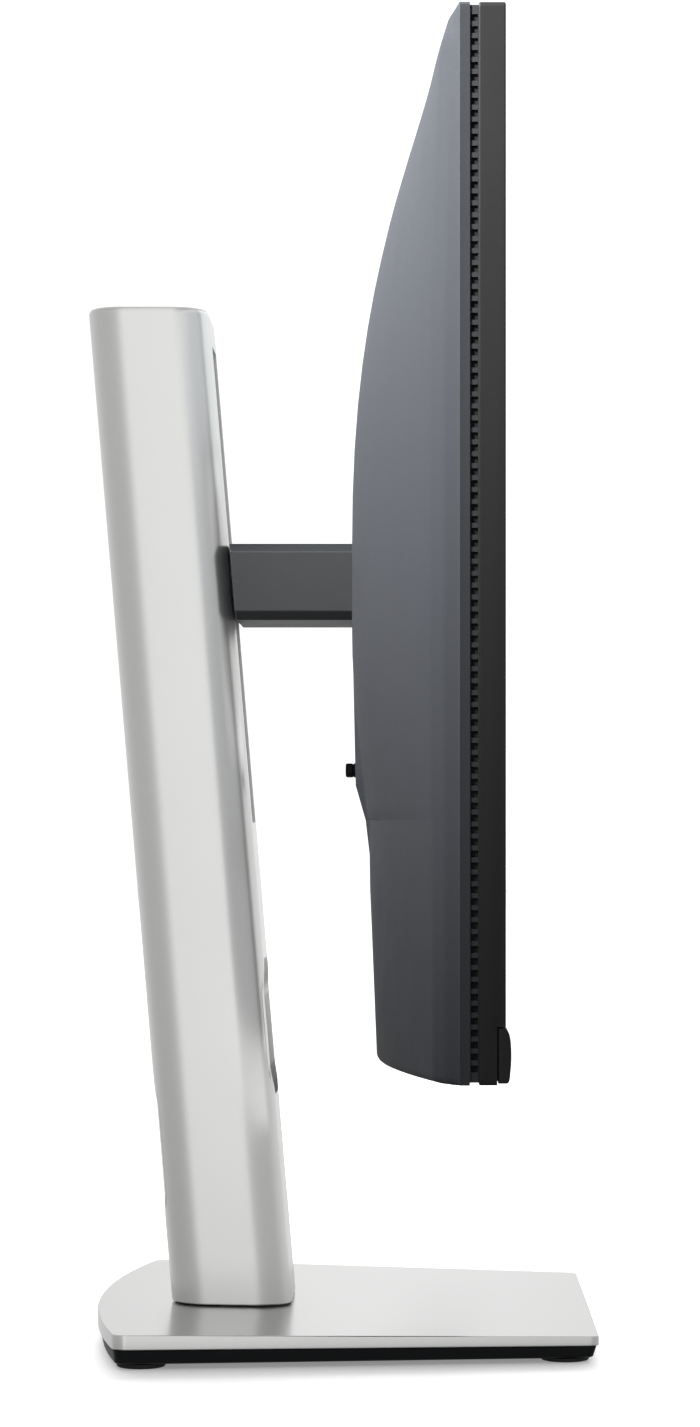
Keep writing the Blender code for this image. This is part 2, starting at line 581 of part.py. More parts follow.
def build_base():
    loops = []
    for inset, f, r in ((0.3, 5.8, 7.0), (0.0, 6.1, 7.3), (0.0, 8.8, 11.9), (0.3, 9.1, 12.2)):
        loops.append([(x, y, wedge(f, r, y)) for x, y in base_outline(inset)])
    plate = loft("base_top_plate", loops, "silver_paint")
    cut(plate, cylinder("c", (0, SWIVEL_Y, 0), "Z", 23.3, 0, 30, seg=40))
    loops = [[(x, y, wedge(1.6, 2.0, y)) for x, y in base_outline(1.8)]]
    loops.append([(x, y, wedge(5.5, 6.7, y)) for x, y in base_outline(0.8)])
    tray = loft("base_tray", loops, "black_plastic")
    cut(tray, prism_z("c", base_outline(9.0), 2.7, 20))
    cut(tray, cylinder("c", (0, SWIVEL_Y, 0), "Z", 41, 0, 30, seg=40))
    weight = prism_z("base_weight", base_outline(10.0), 3.0, 5.3, "steel")
    cut(weight, cylinder("c", (0, SWIVEL_Y, 0), "Z", 44, 0, 30, seg=40))
    for side, s in (("left", -1), ("right", 1)):
        cylinder("foot_rear_" + side, (s * 96.5, 63.8, 0), "Z", 8.3, 0, 1.6, "rubber", 24)
        cylinder("foot_front_" + side, (s * 80.5, -78.6, 0), "Z", 8.3, 0, 1.3, "rubber", 24)
    disc = cylinder("swivel_disc", (0, SWIVEL_Y, 0), "Z", 40.7, 2.2, 6.1, "steel", 40)
    fuse(disc, cylinder("s", (0, SWIVEL_Y, 0), "Z", 23.2, 5, 12.6, seg=40))
    cut(disc, cylinder("c", (0, SWIVEL_Y, 0), "Z", 11.0, 0, 4.4, seg=24),
        cylinder("c", (0, SWIVEL_Y, 0), "Z", 3.4, 0, 30, seg=20))
    screw = cylinder("base_thumbscrew", (0, SWIVEL_Y, 0), "Z", 10.3, 1.4, 4.0, "steel", 24)
    fuse(screw, cylinder("s", (0, SWIVEL_Y, 0), "Z", 3.0, 3.5, 20.5, seg=20))
    cut(screw, cylinder("c", (0, SWIVEL_Y, 0), "Z", 8.6, 0, 3.25, seg=24))
    ring = cylinder("thumbscrew_ring", (0, SWIVEL_Y, 0), "Z", 8.0, 1.5, 2.6, "steel", 28)
    cut(ring, cylinder("c", (0, SWIVEL_Y, 0), "Z", 5.8, 0, 5, seg=24),
        box("c", -20, 20, SWIVEL_Y + 3.6, SWIVEL_Y + 20, 0, 5))
    fuse(ring, box("b", -7.0, 7.0, SWIVEL_Y + 1.9, SWIVEL_Y + 3.6, 1.5, 2.6))
    origin_at(0, SWIVEL_Y + 2.8, 2.05, ring)
    origin_at(0, SWIVEL_Y, 0, screw, disc)


def main():
    clear_scene()
    build_rear_cover()
    build_display_frame()
    build_chin()
    build_stack()
    build_grilles()
    build_inside()
    build_sockets()
    build_buttons()
    build_head()
    build_arm()
    build_column()
    build_base()


main()
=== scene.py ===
"""Looks for the desktop monitor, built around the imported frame. Lengths below are in millimetres."""
import json
import math

import bmesh
import bpy
from mathutils import Matrix, Vector

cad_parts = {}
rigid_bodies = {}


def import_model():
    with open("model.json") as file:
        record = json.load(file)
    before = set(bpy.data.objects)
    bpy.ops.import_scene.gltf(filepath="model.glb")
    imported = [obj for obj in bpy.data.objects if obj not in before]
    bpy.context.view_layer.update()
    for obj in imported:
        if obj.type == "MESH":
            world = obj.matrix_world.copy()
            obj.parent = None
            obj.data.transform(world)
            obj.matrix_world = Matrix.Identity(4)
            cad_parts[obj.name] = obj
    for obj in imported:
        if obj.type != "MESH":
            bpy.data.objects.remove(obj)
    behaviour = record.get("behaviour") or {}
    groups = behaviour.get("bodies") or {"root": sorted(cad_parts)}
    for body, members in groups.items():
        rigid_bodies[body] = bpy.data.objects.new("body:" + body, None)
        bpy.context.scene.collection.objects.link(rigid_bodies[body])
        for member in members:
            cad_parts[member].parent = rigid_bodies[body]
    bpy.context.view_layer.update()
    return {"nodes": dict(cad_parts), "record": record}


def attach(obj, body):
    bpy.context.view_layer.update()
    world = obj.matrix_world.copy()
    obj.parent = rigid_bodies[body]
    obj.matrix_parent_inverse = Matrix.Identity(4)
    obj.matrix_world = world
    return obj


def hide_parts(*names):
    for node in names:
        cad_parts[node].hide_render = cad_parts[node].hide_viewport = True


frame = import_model()

MM = 0.001
SHIFT = 0.85                      # the CAD frame is centred in depth by this much

# ------------------------------------------------------------------ sizes shared with the CAD
PANEL_HW, PANEL_Z0, PANEL_Z1 = 268.9, 105.8, 419.2
FRONT_Y, FRAME_BACK_Y, GROOVE_BACK_Y, BAND_Y = -54.1, -46.3, -43.7, -40.8
LCD_HW = 266.9
HEAD_Z, TILT_Y = 267.0, -10.0
SWIVEL_Y, LEAN = 37.4, 0.0846
COL_HW, COL_HD, COL_R = 30.0, 21.35, 13.0
BASE_FRONT_Y, BASE_REAR_Y, BASE_APEX_Y = -89.8, 73.0, 84.8
BASE_FRONT_HW, BASE_REAR_HW = 90.5, 108.7
BASE_TOP_FRONT, BASE_TOP_REAR = 9.1, 12.2          # the base is a wedge, thicker at the back
HOOD_Z0, HOOD_Z1, HOOD_TOP = 182.6, 193.8, 242.0   # the hood over the sockets, from its lip up
BAY_LIP_Z = 240.0                                  # below this the back of the cover slopes inwards
ARM_Z0, ARM_Z1, ARM_HW, ARM_CHAMFER = 253.5, 280.5, 29.0, 3.0
VENT_PITCH, VENT_DEPTH = 3.4535, 1.3
STICK, POWER, RELEASE_Z = (205.0, 140.0), (228.0, 140.0), 200.7
SOCKETS = {
    "ac_inlet": (-58.0, 13.0, -31.4, -16.0),
    "digital_video_port_a": (-26.0, 8.2, -27.0, -20.6),
    "digital_video_port_b": (-4.0, 7.6, -27.2, -20.8),
    "analog_video_port": (22.0, 9.2, -28.0, -18.8),
    "usb_upstream_port": (44.0, 6.0, -29.0, -18.0),
    "usb_port_pair": (65.0, 7.6, -30.5, -17.0),
}


def column_y(z):
    return SWIVEL_Y + LEAN * (z - 15.0)


# ------------------------------------------------------------------ materials
def node(tree, kind, **values):
    n = tree.nodes.new(kind)
    for key, value in values.items():
        if key.startswith("in_"):
            n.inputs[key[3:].replace("_", " ")].default_value = value
        else:
            setattr(n, key, value)
    return n


def noise(tree, coords, scale, detail=3.0, rough=0.5, stretch=None):
    if stretch:
        m = node(tree, "ShaderNodeMapping")
        m.inputs["Scale"].default_value = stretch
        tree.links.new(coords, m.inputs["Vector"])
        coords = m.outputs["Vector"]
    n = node(tree, "ShaderNodeTexNoise", in_Scale=scale, in_Detail=detail, in_Roughness=rough)
    tree.links.new(coords, n.inputs["Vector"])
    return n.outputs["Fac"]


def ramp(tree, fac, stops):
    r = node(tree, "ShaderNodeValToRGB")
    els = r.color_ramp.elements
    while len(els) < len(stops):
        els.new(0.5)
    for e, (pos, col) in zip(els, stops):
        e.position = pos
        c = col if isinstance(col, (tuple, list)) else (col, col, col)
        e.color = (*c, 1.0)
    tree.links.new(fac, r.inputs["Fac"])
    return r.outputs["Color"]


def grey(tree, fac, lo, hi, a=0.35, b=0.65):
    m = node(tree, "ShaderNodeMapRange")
    for k, v in (("From Min", a), ("From Max", b), ("To Min", lo), ("To Max", hi)):
        m.inputs[k].default_value = v
    tree.links.new(fac, m.inputs["Value"])
    return m.outputs["Result"]


def shade(c, k):
    return tuple(max(0.0, v * k) for v in c)


def blank_material(name):
    """A new material that holds one Principled shader, already joined to its output."""
    mat = bpy.data.materials.new(name)
    mat.use_nodes = True
    t = mat.node_tree
    t.nodes.clear()
    out = node(t, "ShaderNodeOutputMaterial")
    p = node(t, "ShaderNodeBsdfPrincipled")
    p.inputs["IOR"].default_value = 1.5
    t.links.new(p.outputs["BSDF"], out.inputs["Surface"])
    return mat, p


def surface(name, color, rough=(0.4, 0.5), metallic=0.0, specular=0.5, spread=0.08,
            grain=700.0, bump=0.00002, bump_scale=2500.0, blotch=9.0,
            stretch=None, aniso=0.0, wear=0.0, fine=None, edge_tint=None):
    """One procedural finish: fine colour grain, broad tone drift, uneven gloss and a fine bump.

    rough is the range of roughness, spread the colour variation, wear how much edges lighten,
    fine the scale of an extra pebble grain, edge_tint a dimmer reflection at grazing angles."""
    mat, p = blank_material(name)
    t = mat.node_tree
    p.inputs["Metallic"].default_value = metallic
    p.inputs["Specular IOR Level"].default_value = specular
    if edge_tint:
        p.inputs["Specular Tint"].default_value = (edge_tint, edge_tint, edge_tint, 1)
    if aniso:
        p.inputs["Anisotropic"].default_value = aniso
    co = node(t, "ShaderNodeTexCoord").outputs["Object"]
    g = noise(t, co, grain, 4.0, 0.6, stretch)
    b = noise(t, co, blotch, 3.0, 0.55)
    fine_col = ramp(t, g, [(0.3, shade(color, 1 - spread)), (0.7, shade(color, 1 + spread))])
    broad = ramp(t, b, [(0.3, 1 - spread * 0.6), (0.7, 1.0)])
    mix = node(t, "ShaderNodeMix", data_type="RGBA", blend_type="MULTIPLY")
    mix.inputs["Factor"].default_value = 1.0
    t.links.new(fine_col, mix.inputs["A"])
    t.links.new(broad, mix.inputs["B"])
    colour = mix.outputs["Result"]
    if wear:
        geo = node(t, "ShaderNodeNewGeometry")
        edge = ramp(t, geo.outputs["Pointiness"], [(0.52, 0.0), (0.60, 1.0)])
        m2 = node(t, "ShaderNodeMix", data_type="RGBA", blend_type="ADD")
        t.links.new(grey(t, edge, 0.0, wear, 0.0, 1.0), m2.inputs["Factor"])
        t.links.new(colour, m2.inputs["A"])
        m2.inputs["B"].default_value = (0.5, 0.5, 0.5, 1)
        colour = m2.outputs["Result"]
    t.links.new(colour, p.inputs["Base Color"])
    r = noise(t, co, blotch * 6, 5.0, 0.6, stretch)
    t.links.new(grey(t, r, rough[0], rough[1], 0.3, 0.7), p.inputs["Roughness"])
    bn = node(t, "ShaderNodeBump")
    bn.inputs["Strength"].default_value = 1.0
    bn.inputs["Distance"].default_value = bump
    h = noise(t, co, bump_scale, 2.0, 0.5, stretch)
    if fine:
        v = node(t, "ShaderNodeTexVoronoi", in_Scale=fine)
        t.links.new(co, v.inputs["Vector"])
        add = node(t, "ShaderNodeMath", operation="ADD")
        t.links.new(h, add.inputs[0])
        t.links.new(v.outputs["Distance"], add.inputs[1])
        h = add.outputs[0]
    t.links.new(h, bn.inputs["Height"])
    t.links.new(bn.outputs["Normal"], p.inputs["Normal"])
    return mat


def screen_finish():
    """Anti-glare film: a dark active area inside a slightly blacker printed border."""
    mat, p = blank_material("screen_film")
    t = mat.node_tree
    p.inputs["Specular IOR Level"].default_value = 0.5
    p.inputs["Coat Weight"].default_value = 0.25
    p.inputs["Coat Roughness"].default_value = 0.16
    co = node(t, "ShaderNodeTexCoord").outputs["Object"]
    sep = node(t, "ShaderNodeSeparateXYZ")
    t.links.new(co, sep.inputs["Vector"])

    def math_node(operation, a, b=None):
        n = node(t, "ShaderNodeMath", operation=operation)
        t.links.new(a, n.inputs[0])
        if b is not None:
            n.inputs[1].default_value = b
        return n.outputs[0]

    half_width, half_height, middle = 0.2635, 0.1451, 0.2690       # active area, metres
    gx = math_node("GREATER_THAN", math_node("ABSOLUTE", sep.outputs["X"]), half_width)
    height = math_node("SUBTRACT", sep.outputs["Z"], middle)
    gz = math_node("GREATER_THAN", math_node("ABSOLUTE", height), half_height)
    border = node(t, "ShaderNodeMath", operation="MAXIMUM")
    t.links.new(gx, border.inputs[0])
    t.links.new(gz, border.inputs[1])
    inner = ramp(t, noise(t, co, 6.0, 2.0),
                 [(0.3, (0.0095, 0.0102, 0.012)), (0.7, (0.0115, 0.012, 0.0138))])
    mix = node(t, "ShaderNodeMix", data_type="RGBA")
    t.links.new(border.outputs[0], mix.inputs["Factor"])
    t.links.new(inner, mix.inputs["A"])
    mix.inputs["B"].default_value = (0.004, 0.004, 0.0045, 1)
    t.links.new(mix.outputs["Result"], p.inputs["Base Color"])
    t.links.new(grey(t, noise(t, co, 60.0, 4.0), 0.27, 0.34), p.inputs["Roughness"])
    bn = node(t, "ShaderNodeBump")
    bn.inputs["Distance"].default_value = 0.000006
    t.links.new(noise(t, co, 5200.0, 2.0), bn.inputs["Height"])
    t.links.new(bn.outputs["Normal"], p.inputs["Normal"])
    return mat


def board_finish():
    """Green solder mask with a faint pattern of tracks and pads."""
    mat = surface("solder_mask", (0.02, 0.11, 0.055), rough=(0.28, 0.4), spread=0.12)
    t = mat.node_tree
    p = next(n for n in t.nodes if n.type == "BSDF_PRINCIPLED")
    co = next(n for n in t.nodes if n.type == "TEX_COORD").outputs["Object"]
    m = node(t, "ShaderNodeMapping")
    m.inputs["Rotation"].default_value = (math.pi / 2, 0, 0)
    t.links.new(co, m.inputs["Vector"])
    b = node(t, "ShaderNodeTexBrick", in_Scale=60.0)
    b.inputs["Color1"].default_value = (0.02, 0.10, 0.05, 1)
    b.inputs["Color2"].default_value = (0.025, 0.13, 0.065, 1)
    b.inputs["Mortar"].default_value = (0.05, 0.2, 0.1, 1)
    b.inputs["Mortar Size"].default_value = 0.02
    t.links.new(m.outputs["Vector"], b.inputs["Vector"])
    mix = node(t, "ShaderNodeMix", data_type="RGBA", blend_type="MIX")
    mix.inputs["Factor"].default_value = 0.6
    t.links.new(p.inputs["Base Color"].links[0].from_socket, mix.inputs["A"])
    t.links.new(b.outputs["Color"], mix.inputs["B"])
    t.links.new(mix.outputs["Result"], p.inputs["Base Color"])
    return mat


MATS = {
    "dark_plastic": surface("cover_plastic", (0.0166, 0.0176, 0.0199), rough=(0.44, 0.48), specular=0.012,
                            spread=0.08, grain=2400, bump=0.00002, bump_scale=3200, fine=4200, wear=0.01),
    "frame_plastic": surface("frame_plastic", (0.0050, 0.0050, 0.0051), rough=(0.42, 0.46), specular=0.11,
                             spread=0.06, grain=2600, bump=0.00001, bump_scale=3600, wear=0.006),
    "arm_plastic": surface("arm_plastic", (0.0080, 0.0096, 0.0113), rough=(0.46, 0.50), specular=0.40,
                           spread=0.07, grain=2200, bump=0.00002, bump_scale=3000, fine=4200, wear=0.01),
    "black_plastic": surface("black_plastic", (0.0040, 0.0046, 0.0054), rough=(0.42, 0.50), specular=0.14,
                             spread=0.12, grain=1800, bump=0.00002, bump_scale=2600),
    "screen_glass": screen_finish(),
    "diffuser": surface("diffuser_film", (0.84, 0.85, 0.86), rough=(0.3, 0.4), spread=0.02, grain=300),
    "steel": surface("plated_steel", (0.52, 0.53, 0.55), rough=(0.24, 0.4), metallic=1.0, spread=0.10,
                     grain=400, bump=0.00001, bump_scale=900, stretch=(1, 1, 12), aniso=0.4),
    "silver_paint": surface("silver_paint", (0.755, 0.762, 0.745), rough=(0.295, 0.315), metallic=0.92,
                            spread=0.03, grain=4200, bump=0.0000022,
                            bump_scale=5200, blotch=2.2),
    # the column's silver paint again, glossier, with its colour and its grazing reflection dimmed as
    # painted shade on the base
    "silver_paint_shaded": surface("silver_paint_base_shaded", (0.655, 0.662, 0.648), rough=(0.195, 0.21), metallic=0.92,
                           spread=0.03, grain=4200, bump=0.0000008,
                           bump_scale=5200, blotch=2.2, edge_tint=0.80),
    "vent": surface("vent_plastic", (0.0195, 0.0202, 0.0215), rough=(0.42, 0.48), specular=0.03,
                    spread=0.08, grain=1500, bump=0.00002, bump_scale=2500),
    "board": board_finish(),
    "rubber": surface("rubber", (0.014, 0.014, 0.015), rough=(0.7, 0.85), specular=0.3, spread=0.2,
                      grain=900, bump=0.00006, bump_scale=1500),
    "lens": surface("led_lens", (0.62, 0.68, 0.74), rough=(0.12, 0.2), spread=0.03, grain=500),
    # near-black finish for the vent holes and the sheet behind the groove: painted shade for the dark
    # inside of the display
    "pit": surface("vent_hole_shade", (0.003, 0.003, 0.0032), rough=(0.7, 0.9), specular=0.2, spread=0.2),
    "brass": surface("contact_gold", (0.72, 0.55, 0.25), rough=(0.2, 0.32), metallic=1.0, spread=0.06),
    "dark_steel": surface("black_oxide", (0.07, 0.07, 0.075), rough=(0.3, 0.45), metallic=1.0,
                          spread=0.15, bump=0.00002, bump_scale=1800),
}


# ------------------------------------------------------------------ mesh helpers
def mesh_object(name, verts, faces, *mats):
    """An object from points in millimetres, with its normals facing out."""
    me = bpy.data.meshes.new(name)
    me.from_pydata([(x * MM, (y + SHIFT) * MM, z * MM) for x, y, z in verts], [], faces)
    bm = bmesh.new()
    bm.from_mesh(me)
    bmesh.ops.recalc_face_normals(bm, faces=bm.faces)
    bm.to_mesh(me)
    bm.free()
    ob = bpy.data.objects.new(name, me)
    bpy.context.scene.collection.objects.link(ob)
    for mat in mats:
        me.materials.append(MATS[mat])
    return ob


def loft(name, loops, mat):
    """A closed skin through loops that all have the same number of points."""
    n = len(loops[0])
    verts = [p for loop in loops for p in loop]
    faces = []
    for k in range(len(loops) - 1):
        for i in range(n):
            j = (i + 1) % n
            faces.append((k * n + i, k * n + j, (k + 1) * n + j, (k + 1) * n + i))
    faces.append(tuple(range(n)))
    faces.append(tuple(range((len(loops) - 1) * n, len(loops) * n)))
    return mesh_object(name, verts, faces, mat)


def box(x0, x1, y0, y1, z0, z1, mat="steel"):
    return loft("b", [[(x0, y0, z), (x1, y0, z), (x1, y1, z), (x0, y1, z)] for z in (z0, z1)], mat)


def turned(name, centre, axis, profile, mat, seg=48):
    """A solid of revolution about an axis: profile is (distance along the axis, radius)."""
    loops = []
    for a, r in profile:
        loop = []
        for i in range(seg):
            t = 2 * math.pi * i / seg
            c, s = r * math.cos(t), r * math.sin(t)
            cx, cy, cz = centre
            loop.append({"X": (cx + a, cy + c, cz + s), "Y": (cx + c, cy + a, cz + s),
                         "Z": (cx + c, cy + s, cz + a)}[axis])
        loops.append(loop)
    return loft(name, loops, mat)


def evaluated(ob):
    """Apply every modifier."""
    bpy.context.view_layer.update()
    graph = bpy.context.evaluated_depsgraph_get()
    me = bpy.data.meshes.new_from_object(ob.evaluated_get(graph))
    ob.modifiers.clear()
    ob.data = me
    return ob


def boolean(ob, tool, op):
    mod = ob.modifiers.new("cut", "BOOLEAN")
    mod.operation, mod.solver, mod.object = op, "EXACT", tool
    evaluated(ob)
    bpy.data.objects.remove(tool, do_unlink=True)
    return ob


def cut(ob, *tools):
    for tool in tools:
        boolean(ob, tool, "DIFFERENCE")
    return ob


def fuse(ob, *tools):
    for tool in tools:
        boolean(ob, tool, "UNION")
    return ob


def join(ob, *others):
    """Put separate closed shells into one piece."""
    bm = bmesh.new()
    mats = [m for m in ob.data.materials]
    bm.from_mesh(ob.data)
    for o in others:
        idx = []
        for m in o.data.materials:
            if m not in mats:
                mats.append(m)
            idx.append(mats.index(m))
        start = len(bm.faces)
        bm.from_mesh(o.data)
        bm.faces.ensure_lookup_table()
        for f in bm.faces[start:]:
            f.material_index = idx[f.material_index] if f.material_index < len(idx) else 0
        bpy.data.objects.remove(o, do_unlink=True)
    me = bpy.data.meshes.new(ob.name)
    bm.to_mesh(me)
    bm.free()
    for m in mats:
        me.materials.append(m)
    ob.data = me
    return ob


def bevel(ob, width, segments=3, angle=35):
    mod = ob.modifiers.new("edge", "BEVEL")
    mod.width = width * MM
    mod.segments = segments
    mod.limit_method = "ANGLE"
    mod.angle_limit = math.radians(angle)
    mod.use_clamp_overlap = True
    return evaluated(ob)


def smooth(ob, angle=32):
    me = ob.data
    me.polygons.foreach_set("use_smooth", [True] * len(me.polygons))
    me.set_sharp_from_angle(angle=math.radians(angle))
    return ob


def done(ob, name, body, slot, *nodes, angle=32, flat=False):
    """Finish a piece: its name, shading, body and the CAD nodes that it stands for; slot is not used."""
    ob.name = name
    smooth(ob, angle)
    if flat:                          # keep broad faces flat beside their small edge roundings
        mod = ob.modifiers.new("normals", "WEIGHTED_NORMAL")
        mod.keep_sharp, mod.weight = True, 100
        evaluated(ob)
    ob.data.name = name
    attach(ob, body)
    if nodes:
        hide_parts(*nodes)
    return ob


def rounded(hw, hd, r, seg=8):
    """A rectangle with half sizes hw and hd and corner radius r."""
    pts = []
    for cx, cy, a0 in ((1, 1, 0), (-1, 1, 90), (-1, -1, 180), (1, -1, 270)):
        for i in range(seg + 1):
            t = math.radians(a0 + 90 * i / seg)
            pts.append((cx * (hw - r) + r * math.cos(t), cy * (hd - r) + r * math.sin(t)))
    return pts


# ------------------------------------------------------------------ rear cover
def ease(s, run, power):
    """From 0 at an edge to 1 at the distance run, quick at first."""
    return 1 - (1 - min(max(s / run, 0), 1)) ** power


def flat_rise(z):
    """How far the middle of the cover's back stands behind its rim."""
    if z > BAY_LIP_Z:
        return 33.1
    if z > HOOD_Z0:
        return 33.1 - 4.9 * ((BAY_LIP_Z - z) / (BAY_LIP_Z - HOOD_Z0)) ** 1.5
    return min(25.1 + 3.1 * (z - PANEL_Z0) / 76.8, 27.5)


def hood_y(z):
    """The back face of the hood over the sockets, or far forward where there is no hood."""
    if z < HOOD_Z0 - 0.01 or z > HOOD_TOP:
        return -99.0
    if z < HOOD_Z1:
        return -12.0 + 3.2 * max(0.0, z - HOOD_Z0) / (HOOD_Z1 - HOOD_Z0)
    return -8.8 + 1.05 * (z - HOOD_Z1) / (HOOD_TOP - HOOD_Z1)


def cover_y(x, z):
    """The back surface of the cover: rolled edge, pillow, rounded bottom and hood."""
    side, top, low = PANEL_HW - abs(x), PANEL_Z1 - z, z - PANEL_Z0
    step = min(1.0, side / 3.8, (top + 0.4) / 3.8)
    body = ease(side, 115, 1.57) * ease(top, 150, 2.3)
    y = BAND_Y + 2.2 * step + 2.6 * min(1, top / 10) * min(1, side / 10)
    y += (flat_rise(z) - 4.8) * body
    if low < 2.5:
        y -= min(2.5 - math.sqrt(max(0.0, 6.25 - (2.5 - low) ** 2)), y - BAND_Y)
    h = hood_y(z)
    if h > -50 and abs(x) < 154:
        drop = 3.4 * max(0.0, (abs(x) - 150) / 4.0) ** 1.3
        y = max(y, h - drop)
    return y


def cover_block(y_front, shift, inset, dense=True):
    """The cover as a solid block from y_front to its back surface; grid lines crowd at the edges."""
    side = [0, 0.9, 1.9, 2.9, 3.8, 5.2, 6.8, 8.4, 10, 12.5, 15.5, 19, 23, 27.5, 33, 39, 46, 54, 63,
            72, 82, 93, 104, 114.9, 118.9]
    top = [0, 0.8, 1.7, 2.6, 3.4, 5, 6.8, 8.4, 10, 12.5, 15.5, 19, 23, 28, 34, 41, 49, 58, 68, 79, 91,
           104, 118, 133, 149, 163, 177.2, 184, 190, 196, 202, 209, 216, 221, 225.4, 229, 232, 235, 236.6]
    low = [0, 0.3, 0.8, 1.4, 2.0, 2.5, 8, 16, 26, 36, 46, 56, 66, 76.79]
    if not dense:
        side = [0, 4, 14, 30, 50, 75, 100, 116]
        top = [0, 4, 11, 22, 36, 52, 70, 88, 108, 130, 160, 190, 215, 236]
        low = [0, 4, 20, 45, 76.8]
    mid = [137, 122, 106, 90, 74, 58, 42, 28, 14]
    xs = [-PANEL_HW + s for s in side] + [-m for m in mid] + [0] + mid[::-1]
    xs += [PANEL_HW - s for s in reversed(side)]
    zs = [PANEL_Z0 + s for s in low] + [PANEL_Z1 - s for s in reversed(top)]
    k = 1 - inset / PANEL_HW
    kz = 1 - 2 * inset / (PANEL_Z1 - PANEL_Z0)
    zc = (PANEL_Z0 + PANEL_Z1) / 2
    nx, nz = len(xs), len(zs)
    verts = []
    for back in (0, 1):
        for z in zs:
            for x in xs:
                px, pz = x, z
                if abs(x) == PANEL_HW and z in (zs[0], zs[-1]):
                    px -= math.copysign(0.4, x)
                    pz -= math.copysign(0.4, z - zc)
                y = cover_y(x, z) + shift if back else y_front
                verts.append((px * k, y, zc + (pz - zc) * kz))
    off = nx * nz
    faces = []
    for j in range(nz - 1):
        for i in range(nx - 1):
            a = j * nx + i
            faces.append((off + a, off + a + nx, off + a + nx + 1, off + a + 1))
    ring = list(range(nx)) + [j * nx + nx - 1 for j in range(1, nz)]
    ring += [(nz - 1) * nx + i for i in range(nx - 2, -1, -1)]
    ring += [j * nx for j in range(nz - 2, 0, -1)]
    for a, b in zip(ring, ring[1:] + ring[:1]):
        faces.append((a, b, off + b, off + a))
    faces.append(tuple(ring))
    return mesh_object("cover", verts, faces, "dark_plastic")


def rounded_prism_y(hx, hz, r, cx, cz, y0, y1, mat="dark_plastic"):
    return loft("p", [[(cx + x, y, cz + z) for x, z in rounded(hx, hz, r, 6)]
                      for y in (y0, y1)], mat)


def bay(grow):
    """The space under the hood, where the sockets face down."""
    outline = [(-32 - grow, 184 + grow), (-32 - grow, 170), (-22 - grow, 154 - grow * 0.6),
               (12, 137 - grow), (12, 184 + grow)]
    hw = 84 + grow
    return loft("w", [[(x, y, z) for y, z in outline] for x in (-hw, hw)], "dark_plastic")


def build_cover():
    cover = cover_block(GROOVE_BACK_Y, 0.0, 0.0)
    inner = cover_block(GROOVE_BACK_Y - 4, -2.4, 2.2, dense=False)
    cut(inner, box(-64, 64, -25.6, 20, 203, 331), bay(2.0))
    cut(cover, inner)
    cut(cover, rounded_prism_y(62, 62, 3.0, 0, HEAD_Z, -23.6, 20), bay(0.0))
    for x, hw, y0, y1 in SOCKETS.values():
        cut(cover, box(x - hw - 0.3, x + hw + 0.3, y0 - 0.3, y1 + 0.3, 183, 187))
    for (x, z), r in ((STICK, 6.0), (POWER, 4.6)):
        cut(cover, turned("c", (x, 0, z), "Y", [(-40, r), (10, r)], "dark_plastic", 40))
        y = cover_y(x, z)
        lead_in = [(y - 0.5, r - 0.1), (y + 1.1, r + 1.5)]
        cut(cover, turned("c", (x, 0, z), "Y", lead_in, "dark_plastic", 40))
    cut(cover, rounded_prism_y(7.4, 3.0, 2.4, 0, RELEASE_Z, -30, 5))
    cut(cover, rounded_prism_y(3.5, 1.5, 0.7, 121.5, 127.5, -40, 5))
    cut(cover, box(-3.2, 3.2, -23.2, -20.2, 201.0, 207.0))
    cut(cover, turned("c", (0, 0, HEAD_Z), "Y", [(-30, 17), (-20, 17)], "dark_plastic", 48))
    return done(cover, "cover_shell", "display", "dark_plastic", "rear_cover", angle=24)


build_cover()


# ------------------------------------------------------------------ display frame, chin, vents
def panel_outline(grow, r_top, r_low, seg=6):
    hw, z0, z1 = PANEL_HW - grow, PANEL_Z0 + grow, PANEL_Z1 - grow
    pts = []
    corners = ((1, 1, 0, r_top), (-1, 1, 90, r_top), (-1, -1, 180, r_low), (1, -1, 270, r_low))
    for sx, sz, a0, r in corners:
        for i in range(seg + 1):
            t = math.radians(a0 + 90 * i / seg)
            pts.append((sx * (hw - r) + r * math.cos(t),
                        (z1 - r if sz > 0 else z0 + r) + r * math.sin(t)))
    return pts


def build_frame():
    levels = [(FRONT_Y, 0.45), (FRONT_Y + 0.12, 0.2), (FRONT_Y + 0.4, 0.0),
              (FRAME_BACK_Y - 0.45, 0.0), (FRAME_BACK_Y - 0.1, 0.15), (FRAME_BACK_Y, 0.4)]
    ob = loft("f", [[(x, y, z) for x, z in panel_outline(g, 1.4, 1.9)] for y, g in levels],
              "frame_plastic")
    ihw = LCD_HW + 0.3
    cut(ob, box(-ihw, ihw, -60, -40, 122.0, 417.6),
        box(-300, 300, -60, -51.6, 100, 123.0), box(-262, 262, -49.6, -45, 108.5, 118.4))
    return done(ob, "bezel_frame", "display", "frame_plastic", "display_frame", angle=28, flat=True)


